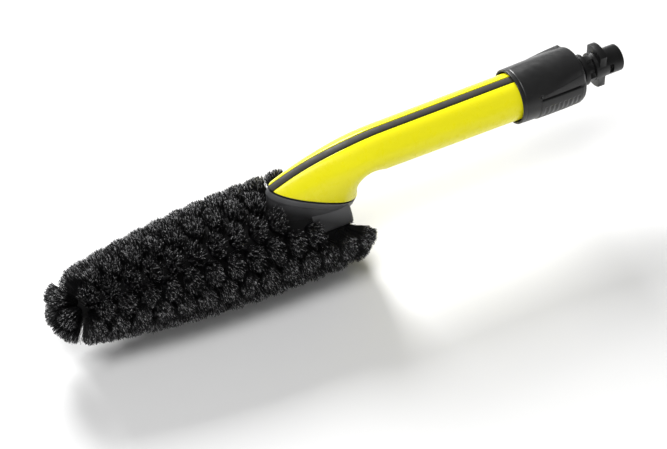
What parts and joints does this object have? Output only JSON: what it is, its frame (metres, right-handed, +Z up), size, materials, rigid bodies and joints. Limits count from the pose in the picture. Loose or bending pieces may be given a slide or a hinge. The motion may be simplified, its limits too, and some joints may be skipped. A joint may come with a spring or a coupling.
{
  "type": "wheel brush",
  "caption": "Water-fed wheel brush: tapered bristle head on an offset tubular handle, with a swivelling bayonet coupling for a spray gun.",
  "frame": {"origin": "on the coupling's axis at the rear faces of its two lugs, where the tail begins", "axes": "+X along the coupling's axis towards the spray gun, +Z up out of the handle's inlaid strip, +Y across; the head points along -X, hung below the handle's axis"},
  "size_m": [0.3998, 0.0734, 0.096],
  "materials": {
    "handle_yellow": "satin moulded plastic",
    "strip_rubber": "matte soft inlay",
    "neck_black": "fine grained",
    "collar_black": "satin, fine grained",
    "connector_black": "satin",
    "core_black": "matte",
    "bristle_black": "crimped filaments with split tips",
    "inner_grey": "natural moulded",
    "seal_rubber": "smooth",
    "steel": "plain"
  },
  "bodies": {
    "coupling": {"bayonet_connector": "connector_black", "inlet_seal": "seal_rubber", "spigot_seals": "seal_rubber", "grip_collar": "collar_black", "collar_snap_ring": "steel"},
    "brush": {"thrust_washer": "inner_grey", "swivel_socket": "inner_grey", "socket_clip": "steel", "handle_shell_left": "handle_yellow", "handle_shell_right": "handle_yellow", "top_strip": "strip_rubber", "handle_screws": "steel", "water_pipe": "inner_grey", "pipe_clamps": "steel", "nipple_seal": "seal_rubber", "neck_housing": "neck_black", "neck_screws": "steel", "brush_core": "core_black", "core_end_cap": "core_black", "end_cap_seal": "seal_rubber", "tufts_nose": "bristle_black", "tufts_ring_01": "bristle_black", "tufts_ring_02": "bristle_black", "tufts_ring_03": "bristle_black", "tufts_ring_04": "bristle_black", "tufts_ring_05": "bristle_black", "tufts_ring_06": "bristle_black", "tufts_ring_07": "bristle_black", "tufts_ring_08": "bristle_black", "tufts_ring_09": "bristle_black", "tufts_ring_10": "bristle_black", "tufts_ring_11": "bristle_black", "tufts_ring_12": "bristle_black", "tufts_ring_13": "bristle_black", "tufts_rear": "bristle_black"}
  },
  "joints": [
    {"name": "coupling_swivel", "type": "hinge", "parent": "brush", "child": "coupling", "pos_m": [-0.035, 0, 0], "axis": [1, 0, 0], "continuous": true}
  ]
}
